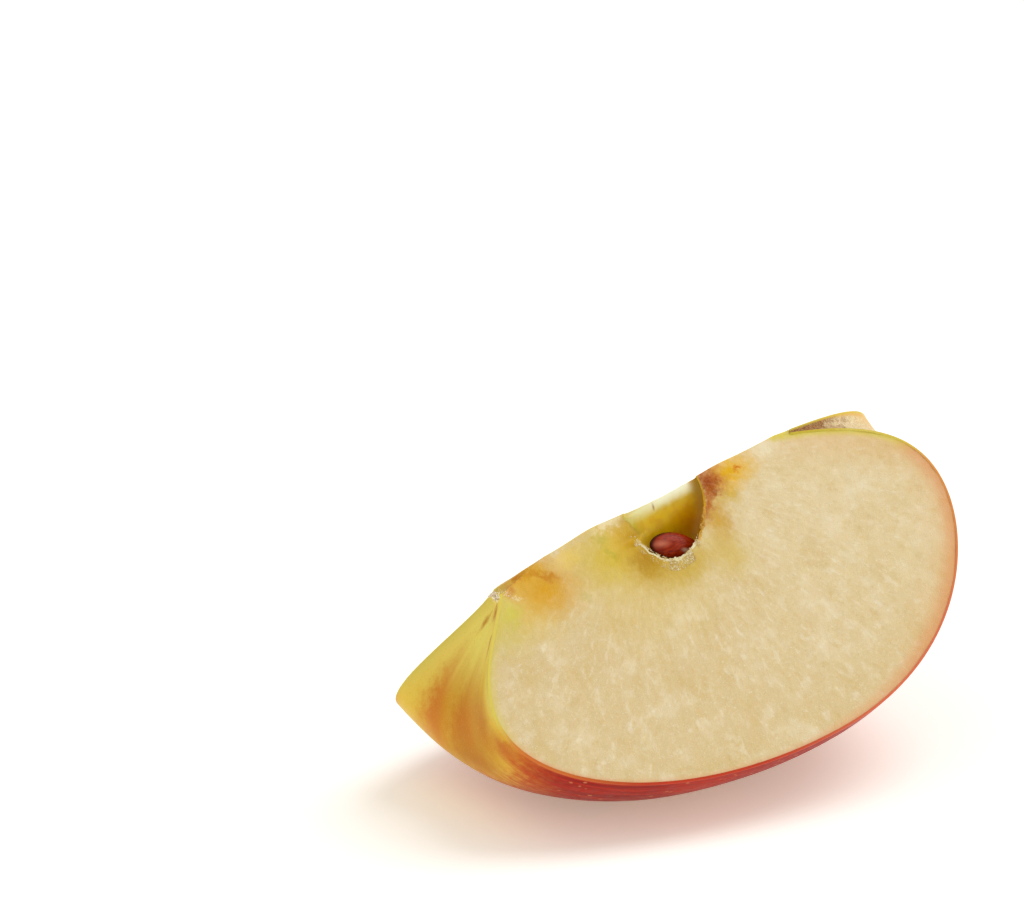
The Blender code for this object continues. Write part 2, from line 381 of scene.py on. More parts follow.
def applied(whole, tools=()):
    """The plain mesh that an object's modifiers make. The object and its tools are taken away."""
    graph = bpy.context.evaluated_depsgraph_get()
    result = bpy.data.meshes.new_from_object(whole.evaluated_get(graph))
    for used in (whole, *tools):
        bpy.data.objects.remove(used)
    return result


def carved(mesh, steps):
    """The mesh after each (operation, tool mesh) step, as a plain mesh."""
    whole = in_scene("whole", mesh)
    tools = []
    for operation, tool_mesh in steps:
        tools.append(in_scene("tool", tool_mesh))
        modifier = whole.modifiers.new("carve", "BOOLEAN")
        modifier.object = tools[-1]
        modifier.operation = operation
        modifier.solver = "MANIFOLD"
    return applied(whole, tools)


uncarved_flesh = flesh_mesh.copy()
flesh_mesh = carved(flesh_mesh, [("DIFFERENCE", pocket_mesh(POCKET_WALL / 2)), ("DIFFERENCE", tube_mesh())])

# The wedge is turned the way it lies, and the box round its skin goes to the CAD solid's box
BOX_TURNS = 400
BOX_SHARES = 80
whole_turn = np.linspace(0, math.pi, BOX_TURNS)[:, None]
whole_share = np.linspace(0, 1, BOX_SHARES)[None, :]
whole_skin = wedge_points(whole_turn, whole_share, np.ones_like(whole_share), 0).reshape(-1, 3)
LYING = Euler((-ROLL_TO_FRONT, -STEM_END_UP, 0)).to_matrix()
turned = whole_skin @ np.array(LYING).T
cad_low, cad_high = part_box("apple_wedge")
WEDGE_PLACE = Vector(
    (
        (cad_low.x + cad_high.x - turned[:, 0].min() - turned[:, 0].max()) / 2,
        (cad_low.y + cad_high.y - turned[:, 1].min() - turned[:, 1].max()) / 2,
        cad_high.z - turned[:, 2].max(),
    )
)


def laid_down(name, mesh, material, lowest=FLOOR_CLEARANCE):
    """A piece where the wedge lies, pressed flat at the height of the flat spot."""
    mesh.transform(Matrix.Translation(WEDGE_PLACE) @ LYING.to_4x4())
    for vertex in mesh.vertices:
        vertex.co.z = max(vertex.co.z, lowest)
    mesh.materials.clear()
    mesh.materials.append(material)
    mesh.polygons.foreach_set("material_index", np.zeros(len(mesh.polygons), np.int32))
    mesh.shade_smooth()
    mesh.set_sharp_from_angle(angle=SHARP_ANGLE)
    return in_scene(name, mesh)


def paint(red, green, blue):
    """A colour as a paint chart gives it, from 0 to 255, in the shader's own values."""
    return tuple(
        value / 12.92 if value <= 0.04045 else ((value + 0.055) / 1.055) ** 2.4
        for value in (red / 255, green / 255, blue / 255)
    ) + (1.0,)


class Value:
    """A node's socket in an expression, which adds the Math nodes that work it out."""

    def __init__(self, nodes, socket):
        self.nodes = nodes
        self.socket = socket

    def math(self, operation, *others):
        values = dict(enumerate((self, *others)))
        return self.nodes.node("ShaderNodeMath", {"operation": operation}, values)

    def __add__(self, other):
        return self.math("ADD", other)

    def __sub__(self, other):
        return self.math("SUBTRACT", other)

    def __rsub__(self, other):
        return self.nodes.node("ShaderNodeMath", {"operation": "SUBTRACT"}, {0: other, 1: self})

    def __mul__(self, other):
        return self.math("MULTIPLY", other)

    def __truediv__(self, other):
        return self.math("DIVIDE", other)

    __radd__ = __add__
    __rmul__ = __mul__


class Nodes:
    """A node tree under way."""

    def node(self, kind, settings=None, values=None, out=0):
        made = self.tree.nodes.new(kind)
        for name, setting in (settings or {}).items():
            setattr(made, name, setting)
        for name, value in (values or {}).items():
            self.feed(made.inputs[name], value)
        return Value(self, made.outputs[out])

    def feed(self, target, value):
        if isinstance(value, Value):
            self.tree.links.new(value.socket, target)
        else:
            target.default_value = value

    def noise(self, vector, scale, detail=2.0, roughness=0.5):
        values = {"Vector": vector, "Scale": scale, "Detail": detail, "Roughness": roughness}
        return self.node("ShaderNodeTexNoise", None, values)

    def ease(self, value, low, high):
        """0 at low and 1 at high, with a soft run between them."""
        values = {"Value": value, "From Min": low, "From Max": high}
        return self.node("ShaderNodeMapRange", {"interpolation_type": "SMOOTHSTEP"}, values)


class Finish(Nodes):
    """A material under way: a Principled shader and the nodes that vary its surface."""

    def __init__(self, name, **constants):
        self.material = bpy.data.materials.new(name)
        self.material.use_nodes = True
        self.tree = self.material.node_tree
        self.shader = self.tree.nodes["Principled BSDF"]
        self.wear(**constants)

    def wear(self, **values):
        for socket, value in values.items():
            self.feed(self.shader.inputs[socket.replace("_", " ")], value)
        return self.material

    def own_place(self):
        """The wedge's own axes in millimetres: X along the core, -Z down its middle."""
        back = LYING.inverted()
        shift = -(back @ WEDGE_PLACE) / MM
        spot_here = self.node("ShaderNodeTexCoord", out="Object")
        settings = {"vector_type": "POINT"}
        values = {"Vector": spot_here, "Location": shift, "Rotation": back.to_euler(), "Scale": (1 / MM,) * 3}
        return self.node("ShaderNodeMapping", settings, values)

    def split(self, vector):
        return [self.node("ShaderNodeSeparateXYZ", None, {0: vector}, out=axis) for axis in range(3)]

    def own_axes(self):
        """The wedge's own place, the three parts of it, and the distance across from the core."""
        place = self.own_place()
        along, sideways, height = self.split(place)
        return place, along, sideways, height, (sideways * sideways + height * height).math("SQRT")

    def join(self, x, y, z):
        return self.node("ShaderNodeCombineXYZ", None, {0: x, 1: y, 2: z})

    def mix(self, share, under, over):
        """One colour over another, by a share from 0 to 1. A plain colour is given as for paint."""
        under, over = (paint(*colour) if isinstance(colour, tuple) else colour for colour in (under, over))
        return self.node("ShaderNodeMix", {"data_type": "RGBA"}, {0: share, 6: under, 7: over}, out=2)

    def dents(self, height, strength, distance):
        """The normal of a surface that is dented a little by a height."""
        values = {"Strength": strength, "Distance": distance, "Height": height}
        return self.node("ShaderNodeBump", None, values)

    def far(self, vector, at, spread, lean=0.0):
        """The distance to a spot's centre: 1 at its spread."""
        values = {
            "Vector": vector,
            "Location": (*at, 0.0),
            "Rotation": (0.0, 0.0, math.radians(lean)),
            "Scale": (*spread, 1.0),
        }
        local = self.node("ShaderNodeMapping", {"vector_type": "TEXTURE"}, values)
        return self.node("ShaderNodeVectorMath", {"operation": "LENGTH"}, {0: local}, out="Value")

    def spot(self, vector, at, spread, lean=0.0):
        """1 at a spot's centre, fading to 0 at its spread."""
        return self.ease(self.far(vector, at, spread, lean), 1.0, 0.0)


DEPTH_SLICES = 20
DEPTH_TURNS = 500
DEPTH_HALF_SLICE = 0.5001


def depth_under_skin(mesh):
    """Stores each point's distance to the skin in millimetres, measured in its own slice of the fruit."""
    count = len(mesh.vertices)
    points = np.empty(count * 3)
    mesh.vertices.foreach_get("co", points)
    points = points.reshape(-1, 3)
    reach = np.hypot(points[:, 1], points[:, 2])
    angle = np.arctan2(-points[:, 1], -points[:, 2])
    share = np.clip((1 - angle / HALF_ANGLE) / 2, 0, 1)
    depths = np.empty(count)
    turns = np.linspace(0, math.pi, DEPTH_TURNS)
    for number in range(DEPTH_SLICES + 1):
        middle = number / DEPTH_SLICES
        near = np.abs(share - middle) <= DEPTH_HALF_SLICE / DEPTH_SLICES
        if near.any():
            along, across = outline(turns, middle)
            gaps = np.hypot(points[near, 0, None] - along, reach[near, None] - across)
            depths[near] = gaps.min(axis=1)
    attribute = mesh.attributes.new("skin_depth", "FLOAT", "POINT")
    attribute.data.foreach_set("value", (depths / MM).astype(np.float32))


# Tints of the front cut: colour, strength, centre, spread and lean, in millimetres along and across.
# First come the broad yellow and the stains round the calyx end.
FRONT_TINTS = (
    ((220, 190, 88), 0.50, (-10.0, 8.0), (15.0, 14.0)),
    ((226, 194, 76), 0.65, (-26.0, 5.0), (7.0, 7.0)),
    ((212, 194, 84), 0.65, (-30.5, 5.5), (4.6, 6.6)),
    ((222, 164, 4), 0.95, (-22.6, 3.8), (7.4, 5.8), 20),
    ((224, 170, 2), 0.85, (-23.8, 1.0), (6.0, 2.6)),
    ((240, 206, 96), 0.75, (-17.6, 1.6), (3.4, 2.4)),
    ((204, 130, 0), 0.80, (-21.7, 2.3), (3.6, 1.0), 42),
    ((192, 108, 4), 0.75, (-25.4, 0.6), (3.4, 1.0), 8),
    ((200, 122, 10), 0.85, (-27.2, 1.7), (1.6, 1.3)),
    ((214, 204, 76), 0.75, (-28.4, 4.4), (2.4, 2.6)),
    ((238, 226, 176), 0.70, (-26.2, 3.1), (1.4, 0.35), 28),
    # Mustard and green between the calyx and the pocket
    ((216, 186, 48), 0.90, (-12.0, 4.0), (9.0, 6.8)),
    ((204, 160, 12), 0.95, (-8.2, 3.4), (5.8, 5.6)),
    ((206, 172, 56), 0.85, (-4.2, 9.8), (8.0, 4.2), -10),
    ((198, 156, 18), 0.85, (-8.2, 7.8), (5.2, 3.8), -10),
    ((182, 134, 8), 0.80, (-8.8, 6.6), (3.2, 3.0)),
    ((170, 164, 28), 0.55, (-12.4, 3.6), (1.9, 0.9), 70),
    ((178, 170, 38), 0.45, (-12.4, 1.6), (1.8, 1.1), 20),
    ((186, 176, 56), 0.30, (-18.4, 7.2), (1.4, 0.7), 60),
    # The side of the pocket towards the stem, with the brown stain at its upper corner
    ((206, 158, 26), 0.85, (3.0, 6.2), (3.0, 5.6), 12),
    ((208, 170, 44), 0.80, (6.2, 4.0), (3.0, 2.4)),
    ((214, 184, 80), 0.65, (2.0, 11.0), (4.2, 5.0)),
    ((244, 234, 202), 0.75, (14.0, 0.8), (3.6, 1.8)),
    ((232, 180, 0), 1.00, (8.0, 1.5), (6.2, 3.6)),
    ((210, 110, 0), 0.95, (9.2, 1.5), (1.0, 0.8)),
    ((192, 104, 0), 1.00, (5.0, 1.2), (3.4, 3.2)),
    ((160, 72, 0), 1.00, (4.5, 1.4), (2.0, 2.4), 15),
    ((160, 74, 0), 0.95, (4.5, 2.6), (1.3, 1.6), 30),
    ((184, 100, 0), 0.95, (2.8, 4.0), (1.3, 3.9), 42),
    ((244, 232, 190), 0.70, (-10.6, 0.2), (3.2, 0.9)),
    ((206, 178, 92), 0.45, (3.0, 2.3), (0.6, 1.0), 10),
)

flesh = Finish(
    "flesh",
    Subsurface_Weight=0.25,
    Subsurface_Radius=(0.9, 0.55, 0.28),
    Subsurface_Scale=0.0009,
    Specular_IOR_Level=0.22,
)
place, along, sideways, height, across = flesh.own_axes()
wander = flesh.noise(place, 0.9, 4.0, 0.65)
wander_too = flesh.noise(flesh.join(height, along, sideways), 1.1, 4.0, 0.65)
cut_place = flesh.join(along + (wander - 0.5) * 3.2, across + (wander_too - 0.5) * 3.2, 0.0)
outward = flesh.join(
    (across + 6.0).math("ARCTAN2", along + 3.0) * 34.0,
    ((across + 6.0) * (across + 6.0) + (along + 3.0) * (along + 3.0)).math("SQRT") * 0.42,
    sideways * 0.02,
)
streaks = flesh.noise(outward, 1.0, 4.0, 0.6)
grains = flesh.noise(place, 2.2, 5.0, 0.7)
clouds = flesh.noise(place, 0.20, 3.0, 0.55)
fine = flesh.noise(place, 6.0, 2.0)
upper = flesh.ease((along - across) * 0.5, -20.0, 5.0)
blotches = flesh.noise(flesh.join(height, sideways, along), 0.45, 3.0, 0.6)
colour = flesh.mix(upper, (223, 199, 148), (229, 208, 161))
for pattern, none_at, full_at, strength, tint in (
    (clouds, 0.48, 0.30, 0.35, (214, 184, 118)),
    (clouds, 0.52, 0.70, 0.40, (240, 226, 192)),
    (blotches, 0.47, 0.30, 0.26, (212, 178, 104)),
    (blotches, 0.53, 0.70, 0.28, (243, 230, 200)),
    (streaks, 0.54, 0.74, 0.50, (243, 231, 202)),
    (streaks, 0.46, 0.28, 0.26, (210, 178, 108)),
    (grains, 0.54, 0.72, 0.38, (245, 234, 206)),
    (grains, 0.46, 0.28, 0.28, (206, 170, 96)),
    # Painted glints: tiny near-white specks that stand in for wet highlights on the flesh.
    (fine, 0.64, 0.74, 0.45, (251, 244, 226)),
):
    colour = flesh.mix(flesh.ease(pattern, none_at, full_at) * strength, colour, tint)
to_back = sideways * math.cos(HALF_ANGLE) + height * math.sin(HALF_ANGLE)
front_side = flesh.ease(to_back, -0.10, -0.25).math("MAXIMUM", flesh.ease(across, 1.4, 0.6))
for tint, strength, *oval in FRONT_TINTS:
    colour = flesh.mix(flesh.spot(cut_place, *oval) * front_side * strength, colour, tint)
bruised = flesh.spot(cut_place, (4.4, 2.4), (3.4, 3.8)) * front_side
colour = flesh.mix(flesh.ease(fine, 0.60, 0.72) * bruised * 0.5, colour, (232, 168, 56))
skin_depth = flesh.node("ShaderNodeAttribute", {"attribute_name": "skin_depth"}, out="Fac")
at_hollow = flesh.ease(along, 11.0, 15.0) * flesh.ease(across, 11.0, 7.0)
at_calyx = flesh.ease(across.math("ARCTAN2", along * -1.0), 0.54, 0.42)
rim = flesh.mix(at_calyx, (232, 172, 118), (220, 200, 92))
rim = flesh.mix(flesh.ease(along, 4.0, 20.0), rim, (226, 154, 94))
rim = flesh.mix(at_hollow, rim, (222, 204, 56))
reach_in = flesh.ease(along, -10.0, 20.0) * 1.8 + at_calyx * 0.7 - at_hollow * 1.5 + 1.1
near_skin = flesh.ease(skin_depth / reach_in, 1.0, 0.05)
warm = flesh.ease(skin_depth, 7.0, 0.5) * flesh.ease(along, 8.0, 24.0)
colour = flesh.mix(warm * 0.45, colour, (226, 182, 118))
colour = flesh.mix(near_skin * (at_hollow * 0.15 - at_calyx * 0.10 + 0.75), colour, rim)
on_back = flesh.ease(to_back, -0.25, -0.10) * flesh.ease(across, 1.0, 2.5)
core_line = flesh.far(cut_place, (-3.0, 0.0), (16.0, 9.5)) - 1.0
core_line = flesh.ease(core_line.math("ABSOLUTE"), 0.10, 0.02) * flesh.ease(wander, 0.42, 0.60)
colour = flesh.mix(core_line * on_back * 0.5, colour, (186, 178, 74))
for tint, strength, *oval in (
    ((224, 176, 44), 0.7, (-23.0, 2.0), (9.0, 6.5)),
    ((220, 190, 92), 0.5, (1.0, 1.5), (14.0, 5.0)),
):
    colour = flesh.mix(flesh.spot(cut_place, *oval) * on_back * strength, colour, tint)
flesh.wear(
    Base_Color=colour,
    Roughness=flesh.ease(grains, 0.3, 0.75) * 0.18 + 0.42,
    Normal=flesh.dents(fine + grains, 0.4, 0.0001),
)

depth_under_skin(flesh_mesh)
flesh_piece = laid_down("flesh", flesh_mesh, flesh.material)
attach(flesh_piece, "root")
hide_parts("apple_wedge")

# The skin
# The thin waxy skin, still on the flesh. It is golden yellow round the calyx and blushes orange and then red
# over the cheek, with fine stripes from end to end, pale breathing dots, and rough russet in the stem hollow.
SKIN_TURNS = 340
SKIN_SLICES = 130
SKIN_STARTS = 0.0017
SKIN_STOPS = 0.0007
RIM_PROUD = 0.00005
RIM_PROUD_SIZE = 0.002
RIM_PROUD_OUTSIDE = 0.6
SKIN_WAVE_HEIGHT = 0.00007
SKIN_WAVE_SIZE = 0.0075
SKIN_WAVE_FADE = 0.02
CALYX_PLEATS = 22
CALYX_PLEAT_HEIGHT = 0.00005
CALYX_PLEAT_BENDS = 0.006
CALYX_PLEAT_ENDS = (0.004, 0.011)
SKIN_END_TURN = math.pi / 3
SKIN_END_SAMPLES = 3000


def turn_at(reach, share, at_calyx):
    """The turn at which the skin is that far across from the core."""
    turns = np.linspace(0, SKIN_END_TURN, SKIN_END_SAMPLES)
    if not at_calyx:
        turns = math.pi - turns
    return float(np.interp(reach, outline(turns, share)[1], turns))


skin_from = turn_at(SKIN_STARTS, 0.5, True)
skin_to = turn_at(SKIN_STOPS, 0.5, False)
skin_turn = np.linspace(skin_from, skin_to, SKIN_TURNS + 1)[:, None]
skin_share = np.linspace(0, 1, SKIN_SLICES + 1)[None, :]
whole = np.ones_like(skin_share)
outer = wedge_points(skin_turn, skin_share, whole, 0)
inner = wedge_points(skin_turn, skin_share, whole, SKIN_THICKNESS)
out = outer - inner
out /= np.maximum(np.linalg.norm(out, axis=-1, keepdims=True), 0.00001)
reach = np.hypot(outer[..., 1], outer[..., 2])
wave = SKIN_WAVE_HEIGHT * lumps(outer, SKIN_WAVE_SIZE, 21)
pleats = np.sin(CALYX_PLEATS * (skin_share - 0.5) * 2 * HALF_ANGLE + 2 * lumps(outer, CALYX_PLEAT_BENDS, 22))
wave += CALYX_PLEAT_HEIGHT * pleats * (1 - smooth(reach, *CALYX_PLEAT_ENDS)) * (outer[..., 0] < 0)
wave *= smooth(skin_share, 0, SKIN_WAVE_FADE) * smooth(skin_share, 1, 1 - SKIN_WAVE_FADE)
outer += wave[..., None] * out
for column, cut_out in ((0, FRONT_OUT), (-1, BACK_OUT)):
    proud = RIM_PROUD * (1 + 0.5 * lumps(outer[:, column], RIM_PROUD_SIZE, 23))
    outer[:, column] += (RIM_PROUD_OUTSIDE * proud)[:, None] * cut_out
    inner[:, column] += proud[:, None] * cut_out
skin_mesh = hoop_mesh("skin", np.concatenate([outer, inner[:, ::-1]], axis=1), False)

# Tints of the yellow ground: colour, strength, centre, spread and lean. Centres and spreads are in radians,
# round the core and from the calyx end.
SKIN_TINTS = (
    ((254, 232, 112), 0.90, (0.20, 0.21), (0.80, 0.15)),
    ((252, 226, 118), 0.80, (0.60, 0.30), (0.30, 0.20)),
    ((234, 192, 66), 0.70, (0.54, 0.46), (0.24, 0.30)),
    ((212, 100, 38), 0.75, (0.32, 0.38), (0.24, 0.22)),
    ((204, 112, 8), 0.90, (-0.08, 0.38), (0.50, 0.18)),
    ((198, 120, 8), 0.85, (-0.42, 0.38), (0.26, 0.16)),
    ((184, 108, 14), 0.80, (-0.12, 0.49), (0.50, 0.13)),
    ((190, 88, 10), 0.85, (-0.58, 0.48), (0.20, 0.10)),
    ((234, 214, 96), 0.70, (-0.66, 0.26), (0.14, 0.16)),
    ((186, 100, 16), 0.85, (-0.12, 0.120), (0.26, 0.045)),
    ((190, 108, 24), 0.75, (0.25, 0.165), (0.12, 0.04)),
    ((196, 112, 30), 0.70, (-0.38, 0.175), (0.10, 0.05)),
)

skin = Finish(
    "skin",
    Specular_IOR_Level=0.06,
    Coat_Roughness=0.22,
    Subsurface_Weight=0.10,
    Subsurface_Scale=0.001,
)
place, along, sideways, height, across = skin.own_axes()
turned_by = sideways.math("ARCTAN2", height * -1.0)
latitude = across.math("ARCTAN2", along * -1.0)
stripes = skin.noise(skin.join(turned_by * 40.0, latitude * 3.0, 0.0), 1.0, 4.0, 0.6)
broad = skin.noise(skin.join(turned_by * 6.0, latitude * 3.0, 3.0), 1.0, 2.0, 0.5)
mottle = skin.noise(place, 0.9, 5.0, 0.65)
speckle = skin.noise(place, 5.0, 3.0, 0.7)
skin_place = skin.join(turned_by + (mottle - 0.5) * 0.22, latitude + (broad - 0.5) * 0.12, 0.0)
patchy = broad + (mottle - 0.5) * 0.6
ground = skin.mix(skin.ease(patchy, 0.30, 0.70), (228, 180, 40), (238, 204, 70))
ground = skin.mix(skin.ease(latitude, 0.36, 0.18) * 0.8, ground, (248, 224, 112))
for tint, strength, *oval in SKIN_TINTS:
    ground = skin.mix(skin.spot(skin_place, *oval) * strength, ground, tint)
ground = skin.mix(skin.ease(speckle, 0.52, 0.70) * 0.25, ground, (236, 206, 112))
ground = skin.mix(skin.ease(speckle, 0.46, 0.30) * 0.25, ground, (190, 132, 30))
to_cheek = latitude + skin.ease(turned_by, -0.36, -0.66) * 0.09
ragged = (broad - 0.5) * 0.20 + (stripes - 0.5) * 0.20 + (mottle - 0.5) * 0.12
blush = skin.ease(to_cheek + ragged, 0.45, 0.84)
red = skin.mix(skin.ease(stripes, 0.36, 0.66), (142, 12, 2), (180, 34, 8))
orange = skin.mix(skin.ease(stripes, 0.35, 0.65), (190, 84, 22), (204, 116, 34))
colour = skin.mix(skin.ease(blush, 0.0, 0.5), ground, orange)
colour = skin.mix(skin.ease(blush, 0.3, 0.9), colour, red)
colour = skin.mix(skin.ease(patchy, 0.52, 0.74) * blush * 0.35, colour, (196, 50, 26))
colour = skin.mix(skin.ease(patchy, 0.48, 0.26) * blush * 0.35, colour, (116, 4, 4))
# Painted shade: the red is darkened from a latitude of 1.0 to 1.6 radians, towards the middle of the cheek.
colour = skin.mix(skin.ease(latitude, 1.0, 1.6) * 0.45, colour, (154, 20, 18))
in_hollow = skin.ease(along, 10.0, 12.0)
rays = skin.noise(skin.join(turned_by * 9.0, across * 0.15, 5.0), 1.0, 4.0, 0.65)
hollow = skin.ease(across + (mottle - 0.5) * 2.0 + (rays - 0.5) * 9.0, 16.0, 7.5) * in_hollow
colour = skin.mix(hollow * 0.95, colour, (228, 184, 104))
greyish = skin.ease(across + (mottle - 0.5) * 3.0 + (rays - 0.5) * 7.0, 10.0, 4.0) * in_hollow
dusty = skin.mix(skin.ease(speckle, 0.35, 0.65), (206, 178, 128), (242, 226, 188))
colour = skin.mix(greyish * skin.ease(turned_by, 0.62, 0.50) * 0.9, colour, dusty)
russet = skin.ease(across + (mottle - 0.5) * 6.0, 4.4, 1.8) * in_hollow
rusty = skin.mix(skin.ease(speckle, 0.38, 0.62), (112, 64, 30), (184, 132, 78))
colour = skin.mix(russet * skin.ease(turned_by, 0.66, 0.58) * 0.95, colour, rusty)
dots = skin.node("ShaderNodeTexVoronoi", None, {"Vector": place, "Scale": 0.56, "Randomness": 1.0})
dot = skin.ease(dots + (speckle - 0.5) * 0.08 + (mottle - 0.5) * 0.40, 0.20, 0.09)
dot = dot * (1.0 - hollow) * skin.ease(latitude, 0.45, 0.8)
colour = skin.mix(dot * 0.60, colour, (228, 152, 92))
to_cut = sideways.math("ABSOLUTE") * math.sin(math.pi / 2 - HALF_ANGLE) + height * math.sin(HALF_ANGLE)
edge = (224, 204, 92)
for none_at, full_at, tint in (
    (0.38, 0.52, (214, 122, 58)),
    (0.62, 0.95, (200, 72, 46)),
    (1.2, 1.9, (230, 128, 90)),
    (2.1, 2.8, (228, 160, 78)),
):
    edge = skin.mix(skin.ease(latitude, none_at, full_at), edge, tint)
edge = skin.mix(skin.ease(across, 13.0, 8.0) * in_hollow, edge, (212, 192, 60))
colour = skin.mix(skin.ease(to_cut, -1.6, -0.1) * skin.ease(latitude, 0.46, 0.32) * 0.6, colour, edge)
colour = skin.mix(skin.ease(to_cut, -0.45, -0.05) * 0.80, colour, edge)
skin.wear(
    Base_Color=colour,
    Roughness=skin.ease(mottle, 0.3, 0.7) * 0.12 + 0.32 + russet * 0.3,
    Coat_Weight=0.03,
    Normal=skin.dents(mottle + dot * -0.5 + speckle * russet * 3.0, 0.2, 0.0001),
)
skin_piece = laid_down("skin", skin_mesh, skin.material, 0.0)
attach(skin_piece, "root")
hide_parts("apple_wedge")

# The core lining
# The smooth horny wall of the seed pocket. It is grown onto the flesh all round the pocket, translucent and
# pale where it thins out along the core edge, with painted light there: a cream band and a faint glow for
# light shining through the thin wall. Further in it is mustard yellow, darkened to brown by painted shade on
# the deep wall towards the stem.
LINING_PROUD = 0.00002
lid = uncarved_flesh.copy()
lid.transform(Matrix.Translation(Vector(FRONT_OUT * LINING_PROUD)))
lining_mesh = carved(pocket_mesh(POCKET_WALL), [("DIFFERENCE", pocket_mesh(0.0)), ("INTERSECT", lid)])

lining = Finish(
    "core_lining",
    Specular_IOR_Level=0.2,
    Coat_Roughness=0.12,
    Subsurface_Weight=0.2,
    Subsurface_Scale=0.0008,
    # A faint glow: painted light for light shining through the thin pale band.
    Emission_Strength=0.10,
)
place, along, sideways, height, across = lining.own_axes()
mottle = lining.noise(place, 0.9, 3.0)
fine = lining.noise(place, 4.0, 3.0)
colour = lining.mix(lining.ease(mottle, 0.3, 0.7), (222, 178, 0), (212, 160, 0))
colour = lining.mix(lining.ease(along, -4.5, -8.0), colour, (204, 166, 40))
colour = lining.mix(lining.ease(across + (mottle - 0.5) * 1.0, 2.6, 1.2) * 0.7, colour, (214, 190, 72))
# Painted shade: the deep part of the wall on the stem side is darkened to orange brown.
shaded_deep_wall = lining.spot(lining.join(along, across, 0.0), (0.8, 5.2), (3.6, 3.8))
colour = lining.mix(shaded_deep_wall * 0.8, colour, (204, 128, 0))
# The pale cream band along the core edge is its own pale colour, with painted light for the light that shines
# through the thin wall.
pale_glowing_band = lining.ease(across + (mottle - 0.5) * 0.5, 2.0, 0.5)
pale_glowing_band = pale_glowing_band * lining.ease(along, -8.8, -5.6) * lining.ease(along, 3.4, 2.0)
whiter_glowing = lining.ease(along, -6.5, -1.0)
cream = lining.mix(whiter_glowing, (238, 226, 164), (246, 240, 206))
cream = lining.mix(lining.ease(across + (fine - 0.5) * 0.3, 0.55, 0.25) * 0.7, cream, (226, 200, 148))
colour = lining.mix(pale_glowing_band * 0.95, colour, cream)
# Painted shade: the wall towards the stem, from 1.8 mm along, is darkened to brown.
colour = lining.mix(lining.ease(along, 1.8, 3.0) * 0.7, colour, (184, 132, 24))
torn_edge = sideways * -math.cos(HALF_ANGLE) + height * math.sin(HALF_ANGLE)
torn_edge = lining.ease(torn_edge + (fine - 0.5) * 0.3, -0.45, -0.10) * lining.ease(across, 3.5, 5.0)
fringe = lining.mix(lining.ease(along, -1.8, -0.4), (242, 228, 186), (216, 160, 50))
colour = lining.mix(torn_edge * 0.85, colour, fringe)
nick = lining.spot(lining.join(along, across, 0.0), (-3.5, 1.1), (0.25, 0.7), 12)
colour = lining.mix(nick * 0.8, colour, (150, 92, 20))
lining.wear(
    Base_Color=colour,
    Roughness=lining.ease(mottle, 0.3, 0.7) * 0.12 + 0.26,
    Coat_Weight=0.08,
    Normal=lining.dents(mottle + fine * pale_glowing_band, 0.12, 0.0001),
    # Painted light: the pale band glows cream where it is whitest.
    Emission_Color=lining.mix(pale_glowing_band * whiter_glowing, (0, 0, 0), (255, 250, 234)),
)
lining_piece = laid_down("core_lining", lining_mesh, lining.material)
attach(lining_piece, "root")
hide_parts("apple_wedge")

# The seed
# A flattened drop with a hard, glossy, reddish brown coat, loose in its pocket: blunt towards the calyx and
# pointed towards the stem, with fine wrinkles from end to end.
SEED_LENGTH = 0.0069
SEED_WIDTH = 0.0037
SEED_THICKNESS = 0.0021
SEED_ALONG = -0.0036
SEED_ACROSS = 0.0063
SEED_DEEP = 0.0015
SEED_LEAN = math.radians(22.0)
SEED_DIP = math.radians(-10.0)
SEED_TAPER = 0.40
SEED_TAPER_CURVE = 3.0
SEED_SEGMENTS = 120
SEED_RINGS = 90
SEED_WRINKLE = 0.000020
SEED_WRINKLE_SIZE = 0.00035
SEED_WRINKLE_DRAW = 0.16


def seed_mesh():
    mesh = ball_mesh("seed_coat", SEED_SEGMENTS, SEED_RINGS, 0.5)
    bm = bmesh.new()
    bm.from_mesh(mesh)
    for vertex in bm.verts:
        width, thickness, length = vertex.co
        narrowing = 1 - SEED_TAPER * max(0.0, length + 0.5) ** SEED_TAPER_CURVE
        vertex.co = (
            length * SEED_LENGTH,
            width * narrowing * SEED_WIDTH,
            thickness * narrowing * SEED_THICKNESS,
        )
    bm.normal_update()
    for vertex in bm.verts:
        along, sideways, height = vertex.co
        drawn_out = Vector((along * SEED_WRINKLE_DRAW, sideways, height)) / SEED_WRINKLE_SIZE
        vertex.co += vertex.normal * SEED_WRINKLE * (noise.noise(drawn_out) - 0.5)
    lie = Euler((0, SEED_DIP, SEED_LEAN)).to_matrix().to_4x4()
    bm.transform(FRONT_CUT @ Matrix.Translation((SEED_ALONG, SEED_ACROSS, SEED_DEEP)) @ lie)
    bm.to_mesh(mesh)
    bm.free()
    return mesh


coat = Finish("seed_coat", Specular_IOR_Level=0.10, Coat_Roughness=0.2)
place, along, sideways, height, across = coat.own_axes()
seed_place = coat.join(along, across, 0.0)
mottle = coat.noise(place, 1.3, 3.0)
lines = coat.noise(coat.join(along * 0.3, sideways * 2.0, height * 2.0), 3.0, 3.0, 0.6)
colour = coat.mix(coat.ease(lines, 0.35, 0.65), (120, 24, 0), (162, 48, 8))
colour = coat.mix(coat.ease(along, -4.6, -7.0) * 0.4, colour, (104, 30, 14))
# A painted highlight: a soft pinkish light patch on the upper left of the coat.
painted_highlight = coat.spot(seed_place, (-5.5, 5.6), (1.8, 0.8), 20)
colour = coat.mix(painted_highlight * 0.75, colour, (204, 118, 90))
colour = coat.mix(coat.spot(seed_place, (-2.7, 7.8), (1.0, 0.45), 30) * 0.8, colour, (206, 180, 152))
